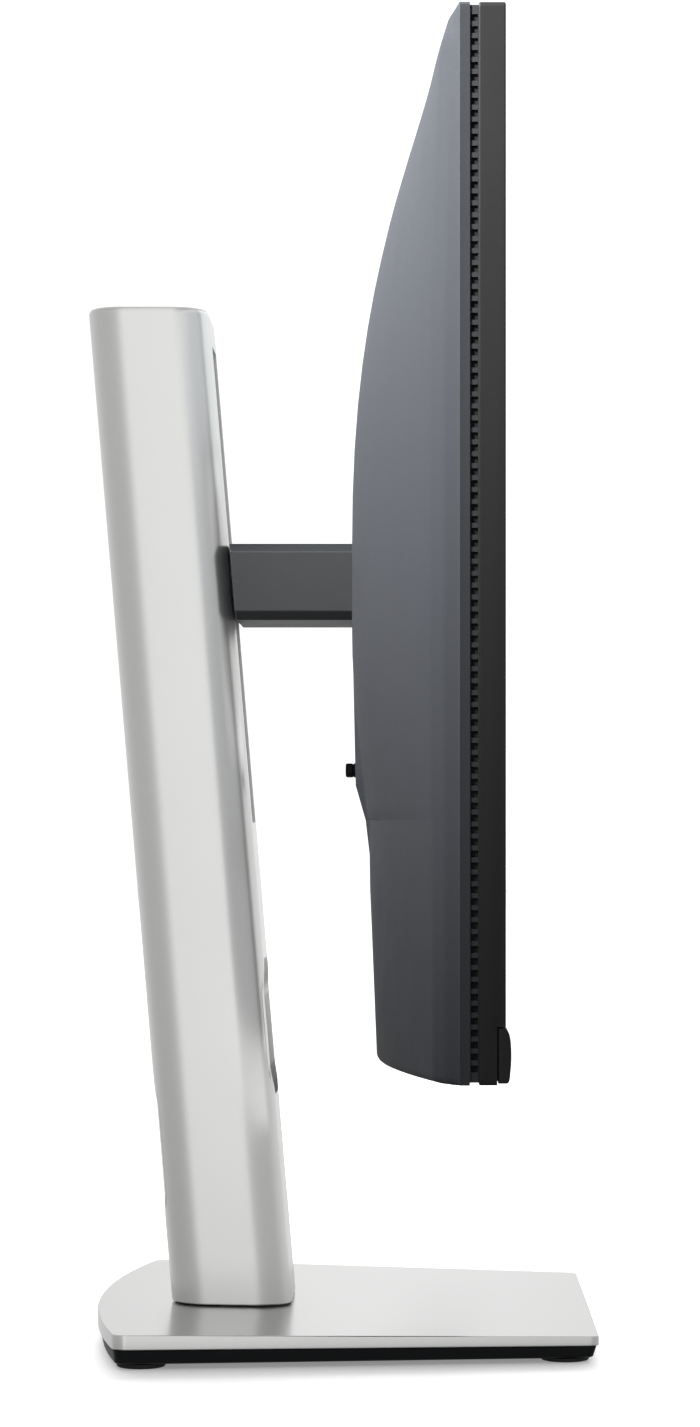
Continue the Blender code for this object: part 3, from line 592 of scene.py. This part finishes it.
def build_chin():
    key = [(-51.9, 106.4), (-54.3, 106.4), (-54.85, 106.65), (-55.15, 107.1), (-55.3, 108.0),
           (-55.42, 109.3), (-55.55, 111.0), (-55.67, 113.0), (-55.7, 114.6), (-55.67, 116.2),
           (-55.58, 117.8), (-55.45, 119.1), (-55.28, 120.1), (-55.05, 120.9), (-54.72, 121.6),
           (-54.35, 122.15), (-53.95, 122.5), (-51.9, 122.5)]
    hw = PANEL_HW - 0.1
    cy, cz = -53.0, 114.5
    loops = []
    for x, g in ((-hw, 0.45), (-hw + 0.15, 0.15), (-hw + 0.5, 0.0), (-120, 0), (0, 0), (120, 0),
                 (hw - 0.5, 0.0), (hw - 0.15, 0.15), (hw, 0.45)):
        loops.append([(x, y + (cy - y) * g / 3.0, z + (cz - z) * g / 8.0) for y, z in key])
    ob = loft("c", loops, "frame_plastic")
    cut(ob, rounded_prism_y(3.3, 1.1, 1.0, 250, 110.5, -60, -53.2, "frame_plastic"))
    done(ob, "chin_strip", "display", "frame_plastic", "chin_trim", angle=30, flat=True)
    lens = loft("l", [[(250 + x, y, 110.4 + z) for x, z in rounded(3.0 - g, 0.8 - g, 0.75 - g)]
                      for y, g in ((-53.6, 0), (-55.1, 0), (-55.35, 0.12), (-55.45, 0.3))], "lens")
    done(lens, "power_light", "display", "lens", "power_led_lens")


def vent_bar(a0, a1, side, along, sign, count, first):
    """A bar from a0 to a1 with a row of square blind holes, painted near-black inside as shade.

    side is where its outer face lies, sign which way that face points, first the first hole."""
    half_length, half_width, hole_depth = 1.0, 1.04, 1.0
    y0, y1 = FRAME_BACK_Y + 0.02, GROOVE_BACK_Y - 0.02
    yc = (y0 + y1) / 2
    marks = [a0]
    for i in range(count):
        c = first + i * VENT_PITCH
        marks += [c - half_length, c + half_length]
    marks.append(a1)
    rails = [y0, yc - half_width, yc + half_width, y1]
    verts, faces, mats, ids = [], [], [], {}

    def p(i, j, d):
        key = (i, j, d)
        if key not in ids:
            ids[key] = len(verts)
            s = side - sign * d
            verts.append((s, rails[j], marks[i]) if along == "Z" else (marks[i], rails[j], s))
        return ids[key]

    def quad(m, *k):
        faces.append(tuple(k))
        mats.append(m)

    def wall(m, i0, j0, i1, j1, d):
        quad(m, p(i0, j0, 0), p(i1, j1, 0), p(i1, j1, d), p(i0, j0, d))

    def face(m, i, j, d):
        quad(m, p(i, j, d), p(i + 1, j, d), p(i + 1, j + 1, d), p(i, j + 1, d))

    last = len(marks) - 1
    for i in range(last):
        for j in range(3):
            if j == 1 and i % 2 == 1:                    # a hole
                # its floor and walls take the near-black pit finish: painted shade
                face(1, i, j, hole_depth)
                wall(1, i, j, i + 1, j, hole_depth)
                wall(1, i, j + 1, i + 1, j + 1, hole_depth)
                wall(1, i, j, i, j + 1, hole_depth)
                wall(1, i + 1, j, i + 1, j + 1, hole_depth)
            else:
                face(0, i, j, 0)
            face(0, i, j, VENT_DEPTH)
        wall(0, i, 0, i + 1, 0, VENT_DEPTH)
        wall(0, i, 3, i + 1, 3, VENT_DEPTH)
    for j in range(3):
        wall(0, 0, j, 0, j + 1, VENT_DEPTH)
        wall(0, last, j, last, j + 1, VENT_DEPTH)
    ob = mesh_object("v", verts, faces, "vent", "pit")
    for poly, m in zip(ob.data.polygons, mats):
        poly.material_index = m
    return ob


def build_vents():
    inset = 0.85                       # how far the bars lie below the panel's edge
    for s, nm in ((-1, "left"), (1, "right")):
        ob = vent_bar(PANEL_Z0 + 0.87, PANEL_Z1 - 0.87, s * (PANEL_HW - inset), "Z", s, 89, 110.7)
        done(ob, "vent_strip_" + nm, "display", "dark_plastic", "vent_grille_" + nm, angle=20)
    count, end = 151, PANEL_HW - 2.4
    first = -(count - 1) / 2 * VENT_PITCH
    for z, s, nm in ((PANEL_Z1 - inset, 1, "top"), (PANEL_Z0 + inset, -1, "bottom")):
        ob = vent_bar(-end, end, z, "X", s, count, first)
        done(ob, "vent_strip_" + nm, "display", "dark_plastic", "vent_grille_" + nm, angle=20)
    # near-black sheet behind the groove, painted shade so nothing inside shows past the vents
    loops = [[(x, y, z) for x, z in panel_outline(2.35, 1.0, 1.0)] for y in (-46.1, -43.9)]
    ring = loft("g", loops, "pit")
    cut(ring, box(-PANEL_HW + 2.9, PANEL_HW - 2.9, -60, -30, PANEL_Z0 + 2.9, PANEL_Z1 - 2.9))
    done(ring, "groove_floor", "display", "dark_plastic", angle=20)


build_frame()
build_chin()
build_vents()


# ------------------------------------------------------------------ column
def column_loop(z, inset=0.0):
    outline = rounded(COL_HW - inset, COL_HD - inset, COL_R - inset, 14)
    return [(x, y + column_y(z), z) for x, y in outline]


def foot_loop(rise, inset):
    """A loop that follows the sloping top of the base, rise above it."""
    slope = (BASE_TOP_REAR - BASE_TOP_FRONT) / (BASE_APEX_Y - BASE_FRONT_Y)
    return [(x, y, BASE_TOP_FRONT + slope * (y - BASE_FRONT_Y) + rise)
            for x, y, _ in column_loop(11.4 + rise, inset)]


def tunnel(grow, d0=-40.0, d1=40.0):
    """The cable hole through the column, lower at the back than at the front."""
    f0, f1, r0, r1 = 84.9, 133.5, 37.7, 92.8             # its heights at front and rear
    loops = []
    for d in (d0, d1):
        t = (d + COL_HD) / (2 * COL_HD)
        lo, hi = f0 + (r0 - f0) * t - grow, f1 + (r1 - f1) * t + grow
        zc, hz = (lo + hi) / 2, (hi - lo) / 2
        outline = rounded(21.0 + grow, hz, 12 + grow, 10)
        loops.append([(x, column_y(zc + z) + d, zc + z) for x, z in outline])
    return loft("t", loops, "silver_paint")


def leaning(x0, x1, d0, d1, z0, z1):
    """A box that leans with the column."""
    loops = []
    for z in (z0, z1):
        yc = column_y(z)
        loops.append([(x0, yc + d0, z), (x1, yc + d0, z), (x1, yc + d1, z), (x0, yc + d1, z)])
    return loft("b", loops, "steel")


def build_column():
    foot = [foot_loop(r, g) for r, g in ((0.45, 1.3), (0.5, 0.6), (0.65, 0.25), (1.0, 0.0))]
    levels = [(18, 0), (60, 0), (120, 0), (180, 0), (240, 0), (300, 0),
              (361.6, 0.0), (362.6, 0.12), (363.3, 0.4), (363.8, 0.9), (364.0, 1.5)]
    ob = loft("col", foot + [column_loop(z, g) for z, g in levels], "silver_paint")
    cut(ob, loft("i", [column_loop(z, 2.4) for z in (22, 352.6)], "silver_paint"))
    fuse(ob, tunnel(1.6, -COL_HD + 0.8, COL_HD - 0.8))
    cut(ob, tunnel(0.0))
    cut(ob, leaning(-12, 12, -30, -10, 182, 352))
    cut(ob, turned("c", (0, SWIVEL_Y, 0), "Z", [(0, 4), (40, 4)], "silver_paint", 24))
    return done(ob, "column_body", "column", "silver_paint", "column_shell", "column_top_cap",
                "column_foot", "cable_slot_liner", angle=30)


build_column()


# ------------------------------------------------------------------ base
def base_loop(inset, front, rear):
    """The base's outline: straight front and sides, bowed back. front and rear are its heights."""
    seg = 40
    fy, ry, ay = BASE_FRONT_Y + inset, BASE_REAR_Y - inset * 0.4, BASE_APEX_Y - inset
    fw, rw = BASE_FRONT_HW - inset, BASE_REAR_HW - inset * 1.1
    pts = []
    r = 3
    for cx, start in ((-fw + r, 180), (fw - r, 270)):
        for k in range(9):
            t = math.radians(start + 90 * k / 8)
            pts.append((cx + r * math.cos(t), fy + r + r * math.sin(t)))
    corner = [(0, -5), (-0.12, -3.7), (-0.45, -2.5), (-1.0, -1.5), (-1.9, -0.6), (-3.2, 0)]
    pts += [(rw + dx, ry + dy) for dx, dy in corner]
    for i in range(1, seg):
        u = 1 - 2 * i / seg
        pts.append(((rw - 3.2) * u, ry + (ay - ry) * (1 - u * u)))
    pts += [(-rw - dx, ry + dy) for dx, dy in reversed(corner)]
    span = BASE_APEX_Y - BASE_FRONT_Y
    return [(x, y, front + (rear - front) * (y - BASE_FRONT_Y) / span) for x, y in pts]


def build_base():
    levels = [(0.45, 5.8, 7.0), (0.15, 5.95, 7.15), (0.0, 6.25, 7.45), (0.0, 8.65, 11.75),
              (0.12, 8.92, 12.02), (0.4, BASE_TOP_FRONT, BASE_TOP_REAR)]
    # the base top takes the dimmed silver: painted shade
    plate = loft("p", [base_loop(*lv) for lv in levels], "silver_paint_shaded")
    cut(plate, turned("c", (0, SWIVEL_Y, 0), "Z", [(0, 20.4), (30, 20.4)], "silver_paint", 72))
    done(plate, "base_plate", "base", "silver_paint", "base_top_plate", angle=30, flat=True)
    prof = [(2.2, 40.3), (2.5, 40.7), (5.6, 40.7), (5.75, 40.3), (5.75, 20.4), (5.9, 20.2),
            (12.4, 20.2), (12.6, 20.0)]
    disc = turned("d", (0, SWIVEL_Y, 0), "Z", prof, "steel", 72)
    cut(disc, turned("c", (0, SWIVEL_Y, 0), "Z", [(0, 11.0), (4.4, 11.0)], "steel", 48))
    cut(disc, turned("c", (0, SWIVEL_Y, 0), "Z", [(0, 3.4), (30, 3.4)], "steel", 32))
    done(disc, "swivel_bearing", "column", "steel", "swivel_disc")
    levels = [(2.4, 1.6, 2.0), (1.8, 2.0, 2.5), (0.9, 5.1, 6.3), (0.8, 5.5, 6.7)]
    tray = loft("t", [base_loop(*lv) for lv in levels], "black_plastic")
    inner = loft("i", [[(x, y, z) for x, y, _ in base_loop(9.0, 0, 0)] for z in (2.7, 20)],
                 "black_plastic")
    cut(tray, inner,
        turned("c", (0, SWIVEL_Y, 0), "Z", [(0, 41), (30, 41)], "black_plastic", 72))
    done(tray, "base_underside", "base", "black_plastic", "base_tray", angle=30, flat=True)
    for nm, x, y, h in (("rear_left", -96.5, 63.8, 1.6), ("rear_right", 96.5, 63.8, 1.6),
                        ("front_left", -80.5, -78.6, 1.3), ("front_right", 80.5, -78.6, 1.3)):
        prof = [(0, 7.3), (0.12, 7.8), (0.4, 8.15), (h * 0.7, 8.3), (h, 8.3)]
        foot = turned("f", (x, y, 0), "Z", prof, "rubber", 40)
        done(foot, "pad_" + nm, "base", "rubber", "foot_" + nm)


build_base()


# ------------------------------------------------------------------ thumbscrew under the base
def build_thumbscrew():
    prof = [(1.4, 9.6), (1.6, 10.1), (1.9, 10.3), (3.6, 10.3), (3.9, 10.1), (4.0, 9.8)]
    head = turned("h", (0, SWIVEL_Y, 0), "Z", prof, "steel", 60)
    cut(head, turned("c", (0, SWIVEL_Y, 0), "Z", [(0, 8.6), (3.25, 8.6)], "steel", 48))
    fuse(head, turned("s", (0, SWIVEL_Y, 0), "Z", [(3.5, 3.0), (19.9, 3.0), (20.5, 2.4)], "steel", 32))
    done(head, "thumbscrew_head", "thumbscrew", "steel", "base_thumbscrew")


build_thumbscrew()


# ------------------------------------------------------------------ arm and head
def build_arm():
    z0, z1, c, hw = ARM_Z0, ARM_Z1, ARM_CHAMFER, ARM_HW

    def section(y_of, inset):
        pts = []
        for x, z in ((-hw, z0 + c), (-hw + c, z0), (hw - c, z0), (hw, z0 + c), (hw, z1 - c),
                     (hw - c, z1), (-hw + c, z1), (-hw, z1 - c)):
            px = x - math.copysign(inset, x)
            pz = z + inset if z < HEAD_Z else z - inset
            pts.append((px, y_of(pz), pz))
        return pts

    def end(z, back=0.0):
        return column_y(z) - COL_HD - 0.7 - back

    loops = [section(lambda z: -8.0, 0.5), section(lambda z: -7.8, 0.15),
             section(lambda z: -7.4, 0.0), section(lambda z: end(z, 0.45), 0.0),
             section(lambda z: end(z, 0.1), 0.12), section(lambda z: end(z), 0.4)]
    ob = loft("a", loops, "arm_plastic")
    wall = 2.4
    cut(ob, box(-hw + wall, hw - wall, -20, 32, z0 + wall, z1 - wall),
        box(-10.8, 10.8, 20, 50, 258.4, 271.6))
    bevel(ob, 0.35, 2, 30)
    return done(ob, "arm_cover", "arm", "arm_plastic", "arm_housing", angle=22, flat=True)


def cross_screw(x, y, z, r, h):
    """A pan-head screw facing +Y with a cross recess."""
    prof = [(-1.2, r * 0.96), (0.0, r), (h * 0.45, r * 0.97), (h * 0.8, r * 0.8), (h, r * 0.5)]
    ob = turned("s", (x, y, z), "Y", prof, "dark_steel", 28)
    a, b = r * 0.52, r * 0.14
    cut(ob, box(x - a, x + a, y + h * 0.3, y + 9, z - b, z + b, "dark_steel"),
        box(x - b, x + b, y + h * 0.3, y + 9, z - a, z + a, "dark_steel"))
    return ob


def build_head():
    loops = [[(x, y, HEAD_Z + 1 + z) for x, z in rounded(59 - g, 58 - g, 4.0 - g, 8)]
             for y, g in ((-23.0, 0), (-20.75, 0), (-20.5, 0.1), (-20.4, 0.35))]
    plate = loft("q", loops, "steel")
    cut(plate, turned("c", (0, 0, HEAD_Z), "Y", [(-30, 15.3), (-10, 15.3)], "steel", 64))
    for sx in (-1, 1):
        for sz in (-1, 1):
            x, z = sx * 50, HEAD_Z + sz * 50
            cut(plate, turned("c", (x, 0, z), "Y", [(-22.2, 4.6), (-10, 4.6)], "steel", 32))
            join(plate, cross_screw(x, -22.1, z, 3.5, 1.5))
    done(plate, "mount_plate", "display", "steel", "quick_release_plate", angle=28, flat=True)
    prof = [(-23.0, 15.0), (-20.0, 15.0), (-20.0, 45.4), (-19.6, 46.0), (-17.5, 46.0), (-17.1, 45.6),
            (-17.0, 45.2), (-17.0, 38.0), (-17.5, 37.4), (-17.5, 34.0), (-17.0, 33.4), (-17.0, 10.0)]
    disc = turned("d", (0, 0, HEAD_Z), "Y", prof, "black_plastic", 96)
    for k in range(4):
        t = math.radians(45 + 90 * k)
        x, z = 27.5 * math.cos(t), HEAD_Z + 27.5 * math.sin(t)
        join(disc, cross_screw(x, -16.9, z, 3.2, 1.2))
    done(disc, "pivot_ring", "tilt_head", "black_plastic", "pivot_disc", angle=28)
    bracket = box(-20, 20, -16.7, -14.9, HEAD_Z - 11, HEAD_Z + 11, "steel")
    for s in (-1, 1):
        a, b = sorted((s * 14.2, s * 17.2))
        fuse(bracket, box(a, b, -15.5, TILT_Y, HEAD_Z - 6, HEAD_Z + 6))
        fuse(bracket, turned("e", (0, TILT_Y, HEAD_Z), "X", [(a, 6.0), (b, 6.0)], "steel", 40))
    cut(bracket, turned("c", (0, TILT_Y, HEAD_Z), "X", [(-30, 3.05), (30, 3.05)], "steel", 32))
    bevel(bracket, 0.3, 2, 40)
    done(bracket, "hinge_bracket", "tilt_head", "steel", "tilt_bracket", angle=28, flat=True)
    prof = [(-19.5, 2.3), (-19.1, 2.9), (-18.8, 3.0), (18.8, 3.0), (19.1, 2.9), (19.5, 2.3)]
    pin = turned("p", (0, TILT_Y, HEAD_Z), "X", prof, "steel", 32)
    done(pin, "hinge_pin", "tilt_head", "steel", "tilt_pin")


build_arm()
build_head()


# ------------------------------------------------------------------ buttons
def build_buttons():
    profile = ((-17.2, 0.2), (-16.9, 0.0), (-5.9, 0.0), (-5.7, 0.25), (-5.5, 0.25), (-5.3, 0.0),
               (-3.5, 0.0), (-3.2, 0.12), (-3.0, 0.35), (-2.9, 0.7))
    body = loft("b", [[(x, y, RELEASE_Z + z) for x, z in rounded(6.9 - g, 2.5 - g, 1.7, 6)]
                      for y, g in profile], "black_plastic")
    done(body, "release_key", "release_button", "black_plastic", "stand_release_button")
    x, z = STICK
    y = cover_y(x, z)
    prof = [(0.95, 4.2), (1.15, 4.4), (2.3, 4.4), (2.75, 4.15), (3.2, 3.6), (3.6, 2.9), (3.7, 2.4),
            (3.45, 1.6), (3.3, 0.6)]
    cap = turned("c", (x, y, z), "Y", prof, "black_plastic", 44)
    done(cap, "stick_button", "stick_cap", "black_plastic", "joystick_cap")
    x, z = POWER
    y = cover_y(x, z)
    prof = [(-3.6, 3.9), (-3.3, 4.1), (0.1, 4.1), (0.5, 3.9), (0.7, 3.4), (0.55, 2.2), (0.5, 0.8)]
    key = turned("k", (x, y, z), "Y", prof, "black_plastic", 44)
    done(key, "power_key", "power_button", "black_plastic", "power_button")


build_buttons()


# ------------------------------------------------------------------ socket contacts
def build_contacts():
    """The pins and tongues inside the sockets."""
    parts = []
    x, hw, y0, y1 = SOCKETS["ac_inlet"]
    for dx, dy in ((-7, 1.6), (7, 1.6), (0, -2.2)):
        yc = (y0 + y1) / 2 + dy
        pin = box(x + dx - 1.0, x + dx + 1.0, yc - 2.0, yc + 2.0, 186.0, 199.0)
        parts.append(bevel(pin, 0.3, 2))
    for nm in ("digital_video_port_a", "digital_video_port_b"):
        x, hw, y0, y1 = SOCKETS[nm]
        yc = (y0 + y1) / 2 + 0.3
        tongue = box(x - hw + 2.6, x + hw - 2.6, yc - 0.5, yc + 0.5, 185.4, 195.0, "black_plastic")
        parts.append(bevel(tongue, 0.15))
        for k in range(8):
            c = x - hw + 3.6 + k * (2 * hw - 7.2) / 7
            parts.append(box(c - 0.3, c + 0.3, yc - 0.75, yc - 0.55, 185.8, 194.6, "brass"))
    x, hw, y0, y1 = SOCKETS["analog_video_port"]
    insert = box(x - hw + 1.2, x + hw - 1.2, y0 + 1.3, y1 - 1.3, 188.6, 194.4, "black_plastic")
    parts.append(bevel(insert, 0.4))
    x, hw, y0, y1 = SOCKETS["usb_upstream_port"]
    insert = box(x - 2.4, x + 2.4, y0 + 3.4, y1 - 3.4, 185.2, 195.0, "black_plastic")
    parts.append(bevel(insert, 0.25))
    x, hw, y0, y1 = SOCKETS["usb_port_pair"]
    yc = (y0 + y1) / 2
    parts.append(box(x - hw + 0.95, x + hw - 0.95, yc - 0.6, yc + 0.6, 185.0, 195.2))
    for s in (-1, 1):
        c = yc + s * 3.4
        tongue = box(x - hw + 2.0, x + hw - 2.0, c - 0.7, c + 0.7, 185.6, 195.2, "black_plastic")
        parts.append(bevel(tongue, 0.2))
    done(join(*parts), "socket_contacts", "display", "black_plastic")


build_contacts()

# ------------------------------------------------------------------ finishes for the CAD nodes that stay
SLOT_OF = {s["node"]: s["material_slot"] for s in frame["record"]["subparts"]}
for name, ob in frame["nodes"].items():
    ob.data.materials.clear()
    ob.data.materials.append(MATS[SLOT_OF[name]])

# ------------------------------------------------------------------ floor, light, camera
PIECES = bpy.data.objects


def build_floor():
    size, n = 9.0, 12                 # half the floor's width in metres, and its grid
    me = bpy.data.meshes.new("floor")
    steps = [-size + 2 * size * i / n for i in range(n + 1)]
    verts = [(x, y, 0.0) for y in steps for x in steps]
    corner = [j * (n + 1) + i for j in range(n) for i in range(n)]
    faces = [(a, a + 1, a + n + 2, a + n + 1) for a in corner]
    me.from_pydata(verts, [], faces)
    ob = bpy.data.objects.new("floor", me)
    bpy.context.scene.collection.objects.link(ob)
    mat = surface("floor_white", (0.86, 0.86, 0.86), rough=(0.55, 0.65), specular=0.2, spread=0.004,
                  grain=40, bump=0.0, bump_scale=100)
    p = next(x for x in mat.node_tree.nodes if x.type == "BSDF_PRINCIPLED")
    p.inputs["Emission Color"].default_value = (1, 1, 1, 1)
    p.inputs["Emission Strength"].default_value = 0.25
    me.materials.append(mat)
    ob.visible_glossy = False         # reflections see the studio's own lower half instead


def build_world():
    """A studio as a function of direction: bright towards -X and +X, dimmer at front and back."""
    world = bpy.data.worlds.new("studio")
    world.use_nodes = True
    bpy.context.scene.world = world
    t = world.node_tree
    t.nodes.clear()
    out = node(t, "ShaderNodeOutputWorld")
    bg = node(t, "ShaderNodeBackground")
    co = node(t, "ShaderNodeTexCoord").outputs["Generated"]
    sep = node(t, "ShaderNodeSeparateXYZ")
    t.links.new(co, sep.inputs["Vector"])
    ang = node(t, "ShaderNodeMath", operation="ARCTAN2")        # 0 at -X, + towards -Y
    for k, direction in enumerate(("Y", "X")):
        flip = node(t, "ShaderNodeMath", operation="MULTIPLY")
        flip.inputs[1].default_value = -1.0
        t.links.new(sep.outputs[direction], flip.inputs[0])
        t.links.new(flip.outputs[0], ang.inputs[k])
    fac = grey(t, ang.outputs[0], 0.0, 1.0, -math.pi, math.pi)
    # (direction in degrees, brightness)
    stops = [(-180, 1.30), (-173, 1.02), (-164, 0.85), (-140, 0.75), (-118, 0.64), (-100, 0.56),
             (-80, 0.55), (-50, 0.55), (-30, 0.62), (-20, 0.80), (-10, 1.12), (6, 1.14), (13, 0.92),
             (22, 0.66), (45, 0.57), (75, 0.55), (92, 0.55), (118, 0.72), (164, 0.85), (173, 1.02),
             (180, 1.30)]
    around = ramp(t, fac, [((d + 180) / 360, v) for d, v in stops])
    el = ramp(t, grey(t, sep.outputs["Z"], 0.0, 1.0, -1.0, 1.0),
              [(0.0, 0.3), (0.25, 0.4), (0.37, 0.6), (0.42, 0.95), (0.5, 1.0), (0.62, 1.0),
               (0.8, 0.95), (1.0, 0.9)])
    mix = node(t, "ShaderNodeMix", data_type="RGBA", blend_type="MULTIPLY")
    mix.inputs["Factor"].default_value = 1.0
    t.links.new(around, mix.inputs["A"])
    t.links.new(el, mix.inputs["B"])
    t.links.new(mix.outputs["Result"], bg.inputs["Color"])
    bg.inputs["Strength"].default_value = 1.0
    t.links.new(bg.outputs["Background"], out.inputs["Surface"])


def only_on(light, *receivers, blockers=None):
    """Let a light reach only some pieces, like a flagged lamp in a studio."""
    lit = bpy.data.collections.new(light.name + "_lit")
    for ob in receivers:
        lit.objects.link(ob)
    light.light_linking.receiver_collection = lit
    if blockers is not None:
        block = bpy.data.collections.new(light.name + "_block")
        for ob in blockers:
            block.objects.link(ob)
        light.light_linking.blocker_collection = block


def area_light(name, pos, target, size, power, size_y, spread=180):
    """A lamp of size by size_y metres, with power in watts and spread in degrees."""
    light = bpy.data.lights.new(name, "AREA")
    light.shape = "RECTANGLE"
    light.size, light.size_y = size, size_y
    light.energy, light.spread = power, math.radians(spread)
    ob = bpy.data.objects.new(name, light)
    ob.location = pos
    d = Vector(target) - Vector(pos)
    ob.rotation_euler = d.to_track_quat("-Z", "Y").to_euler()
    ob.visible_camera = False
    bpy.context.scene.collection.objects.link(ob)
    return ob


def build_camera():
    cam = bpy.data.cameras.new("camera")
    ob = bpy.data.objects.new("camera", cam)
    bpy.context.scene.collection.objects.link(ob)
    # level, looking along +X from beside the object
    ob.matrix_world = Matrix(((0, 0, -1, -1.356), (-1, 0, 0, -0.02695), (0, 1, 0, 0.1818),
                              (0, 0, 0, 1)))
    cam.lens, cam.sensor_width, cam.sensor_fit = 94.95, 36.0, "AUTO"
    cam.shift_x, cam.shift_y = -0.0455, 0.0767
    cam.clip_start, cam.clip_end = 0.05, 50.0
    bpy.context.scene.camera = ob


def build_lights():
    dark_mats = [MATS[k] for k in ("dark_plastic", "frame_plastic", "arm_plastic", "vent")]
    dark = [o for o in PIECES if o.type == "MESH" and o.data.materials
            and o.data.materials[0] in dark_mats]
    column, floor = PIECES["column_body"], PIECES["floor"]
    base = [PIECES[k] for k in ("base_plate", "base_underside", "pad_front_left",
                                "pad_front_right", "pad_rear_left", "pad_rear_right")]
    # keeps the floor as pale far behind the object as it is near it
    only_on(area_light("floor_far", (4.2, 0.0, 2.5), (4.2, 0.0, 0.0), 6.0, 210.0, 12.0), floor)
    # the dark plastics fade from top to bottom under these two
    only_on(area_light("key_side", (-1.25, 0.725, 1.13), (-0.27, -0.045, 0.49),
                       0.25, 3.1, 0.20, 22), *dark)
    only_on(area_light("key_back", (0.0, 0.80, 0.95), (0.0, -0.03, 0.42),
                       1.1, 13.0, 0.12, 30), *dark)
    # two panels between the display and the column, for the bright strips on its front edges
    only_on(area_light("column_fill", (-0.13, -0.0045, 0.25), (-0.13, 0.5, 0.25),
                       0.220, 0.101, 0.35), column)
    only_on(area_light("column_edge", (0.070, -0.0045, 0.257), (0.070, 0.5, 0.257),
                       0.162, 0.128, 0.31), column)
    # a soft shadow under the base only
    only_on(area_light("floor_wash", (1.25, -0.03, 0.58), (-0.1, -0.03, 0.0), 2.0, 19.0, 0.7),
            floor, blockers=base)


build_floor()
build_world()
build_lights()
build_camera()
bpy.context.scene.view_settings.view_transform = "Standard"
bpy.context.scene.view_settings.look = "None"
